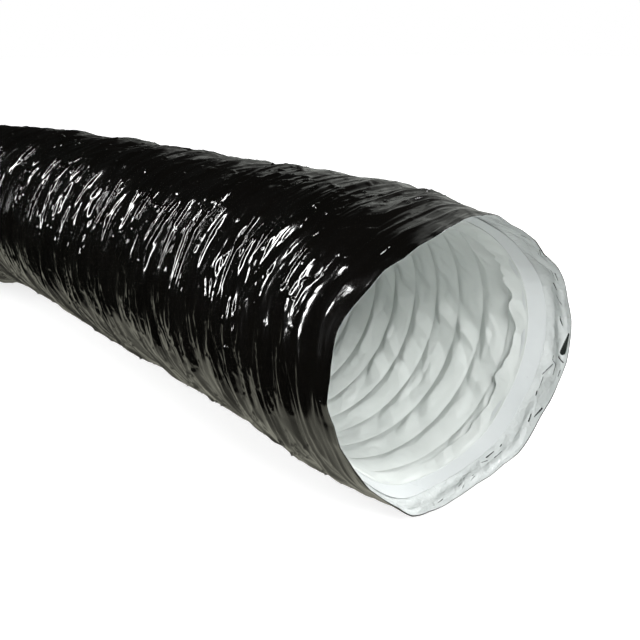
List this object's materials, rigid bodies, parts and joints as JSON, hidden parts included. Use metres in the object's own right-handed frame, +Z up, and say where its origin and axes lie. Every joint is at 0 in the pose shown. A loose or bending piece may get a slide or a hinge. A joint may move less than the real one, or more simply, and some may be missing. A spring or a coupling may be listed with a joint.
{
  "type": "flexible air duct",
  "caption": "Insulated flexible air duct: black film jacket over a blanket and a white wire-ribbed liner, open at both ends, that bends and shortens.",
  "frame": {"origin": "centre of the bore at the cut edge of the liner at the front end", "axes": "+X along the bore out of the front mouth, +Z up; the duct runs towards -X and its rear end bends towards -Y"},
  "size_m": [1.4216, 0.4397, 0.2961],
  "materials": {
    "jacket_film": "glossy black polyethylene film, crinkled",
    "white_film": "satin white film, the jacket's inner face turned in",
    "edge_tape": "smooth satin white tape",
    "liner_film": "matt white film, ribbed over the wire",
    "core_ply": "thin white film, outer ply of the core",
    "insulation": "fibre blanket",
    "spring_wire": "drawn spring steel wire"
  },
  "bodies": {
    "section_1": {"front_jacket_cuff": "jacket_film", "front_hem": "white_film", "front_edge_tape": "edge_tape", "front_blanket_cuff": "insulation", "front_core_wrap_cuff": "core_ply", "front_liner_cuff": "liner_film", "jacket_1": "jacket_film", "blanket_1": "insulation", "core_wrap_1": "core_ply", "wire_1": "spring_wire", "liner_1": "liner_film"},
    "section_2": {"jacket_2": "jacket_film", "blanket_2": "insulation", "core_wrap_2": "core_ply", "wire_2": "spring_wire", "liner_2": "liner_film"},
    "section_3": {"jacket_3": "jacket_film", "blanket_3": "insulation", "core_wrap_3": "core_ply", "wire_3": "spring_wire", "liner_3": "liner_film"},
    "section_4": {"jacket_4": "jacket_film", "blanket_4": "insulation", "core_wrap_4": "core_ply", "wire_4": "spring_wire", "liner_4": "liner_film"},
    "section_5": {"jacket_5": "jacket_film", "blanket_5": "insulation", "core_wrap_5": "core_ply", "wire_5": "spring_wire", "liner_5": "liner_film"},
    "section_6": {"jacket_6": "jacket_film", "blanket_6": "insulation", "core_wrap_6": "core_ply", "wire_6": "spring_wire", "liner_6": "liner_film"},
    "section_7": {"jacket_7": "jacket_film", "blanket_7": "insulation", "core_wrap_7": "core_ply", "wire_7": "spring_wire", "liner_7": "liner_film"},
    "rear_end": {"rear_jacket_cuff": "jacket_film", "rear_hem": "white_film", "rear_edge_tape": "edge_tape", "rear_blanket_cuff": "insulation", "rear_core_wrap_cuff": "core_ply", "rear_liner_cuff": "liner_film"}
  },
  "joints": [
    {"name": "shorten_1", "type": "slide", "parent": "section_1", "child": "section_2", "axis": [1, 0, 0], "range_m": [0, 0.126], "deforming": ["jacket_1", "blanket_1", "core_wrap_1", "wire_1", "liner_1"]},
    {"name": "bend_side_2", "type": "hinge", "parent": "section_2", "child": "section_3", "pos_m": [-0.293, 0, 0], "axis": [0, 0, 1], "range_deg": [-30, 30], "deforming": ["jacket_2", "blanket_2", "core_wrap_2", "wire_2", "liner_2"]},
    {"name": "bend_up_3", "type": "hinge", "parent": "section_3", "child": "section_4", "pos_m": [-0.473, 0, 0], "axis": [0, 1, 0], "range_deg": [-30, 30], "deforming": ["jacket_3", "blanket_3", "core_wrap_3", "wire_3", "liner_3"]},
    {"name": "shorten_4", "type": "slide", "parent": "section_4", "child": "section_5", "axis": [1, 0, 0], "range_m": [0, 0.126], "deforming": ["jacket_4", "blanket_4", "core_wrap_4", "wire_4", "liner_4"]},
    {"name": "bend_up_5", "type": "hinge", "parent": "section_5", "child": "section_6", "pos_m": [-0.833, 0, 0], "axis": [0, 1, 0], "range_deg": [-30, 30], "deforming": ["jacket_5", "blanket_5", "core_wrap_5", "wire_5", "liner_5"]},
    {"name": "bend_side_6", "type": "hinge", "parent": "section_6", "child": "section_7", "pos_m": [-1.01511, 0, 0], "axis": [0, 0, 1], "range_deg": [-60, 10], "deforming": ["jacket_6", "blanket_6", "core_wrap_6", "wire_6", "liner_6"]},
    {"name": "shorten_7", "type": "slide", "parent": "section_7", "child": "rear_end", "axis": [0.866, 0.5, 0], "range_m": [0, 0.126], "deforming": ["jacket_7", "blanket_7", "core_wrap_7", "wire_7", "liner_7"]}
  ]
}
